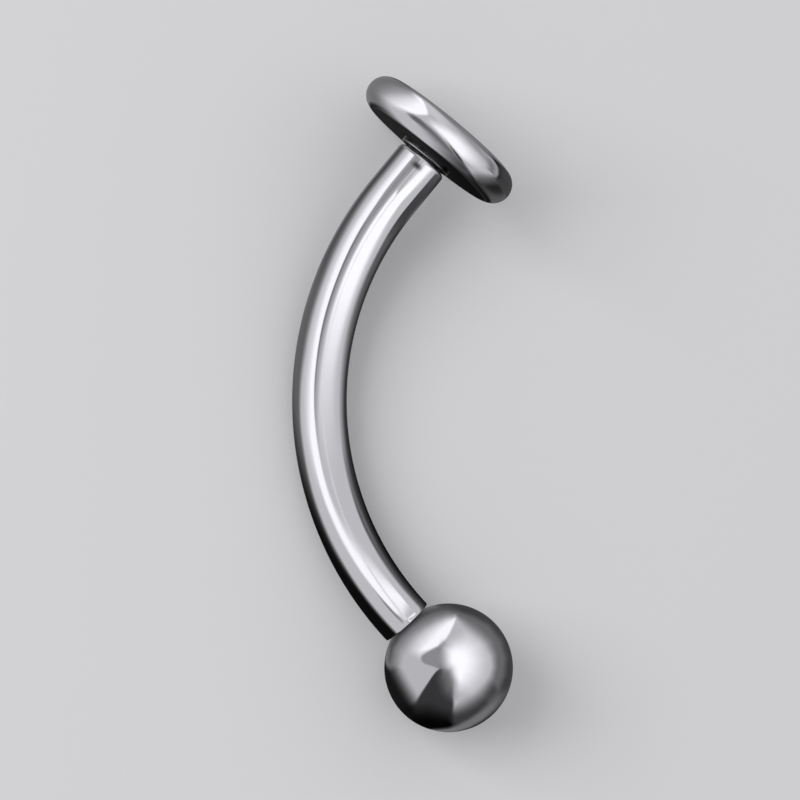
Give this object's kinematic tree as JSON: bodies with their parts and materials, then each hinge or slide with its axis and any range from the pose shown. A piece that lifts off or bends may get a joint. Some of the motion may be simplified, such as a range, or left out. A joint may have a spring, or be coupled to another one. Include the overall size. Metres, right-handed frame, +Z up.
{
  "type": "vertical labret",
  "caption": "Curved steel bar for a lip piercing, with a flat round-edged disc screwed on one end and a ball on the other, lying on its side.",
  "frame": {"origin": "middle of the object's footprint, on the surface it lies on", "axes": "+Z up from the surface, +Y from the ball's end to the disc's end, +X to the hollow side of the bend"},
  "size_m": [0.0051, 0.0154, 0.004],
  "materials": {
    "bar": "mirror-polished 316L surgical steel",
    "disc": "mirror-polished 316L surgical steel",
    "ball": "mirror-polished 316L surgical steel"
  },
  "bodies": {
    "root": {"bar": "bar", "disc": "disc", "ball": "ball"}
  },
  "joints": []
}
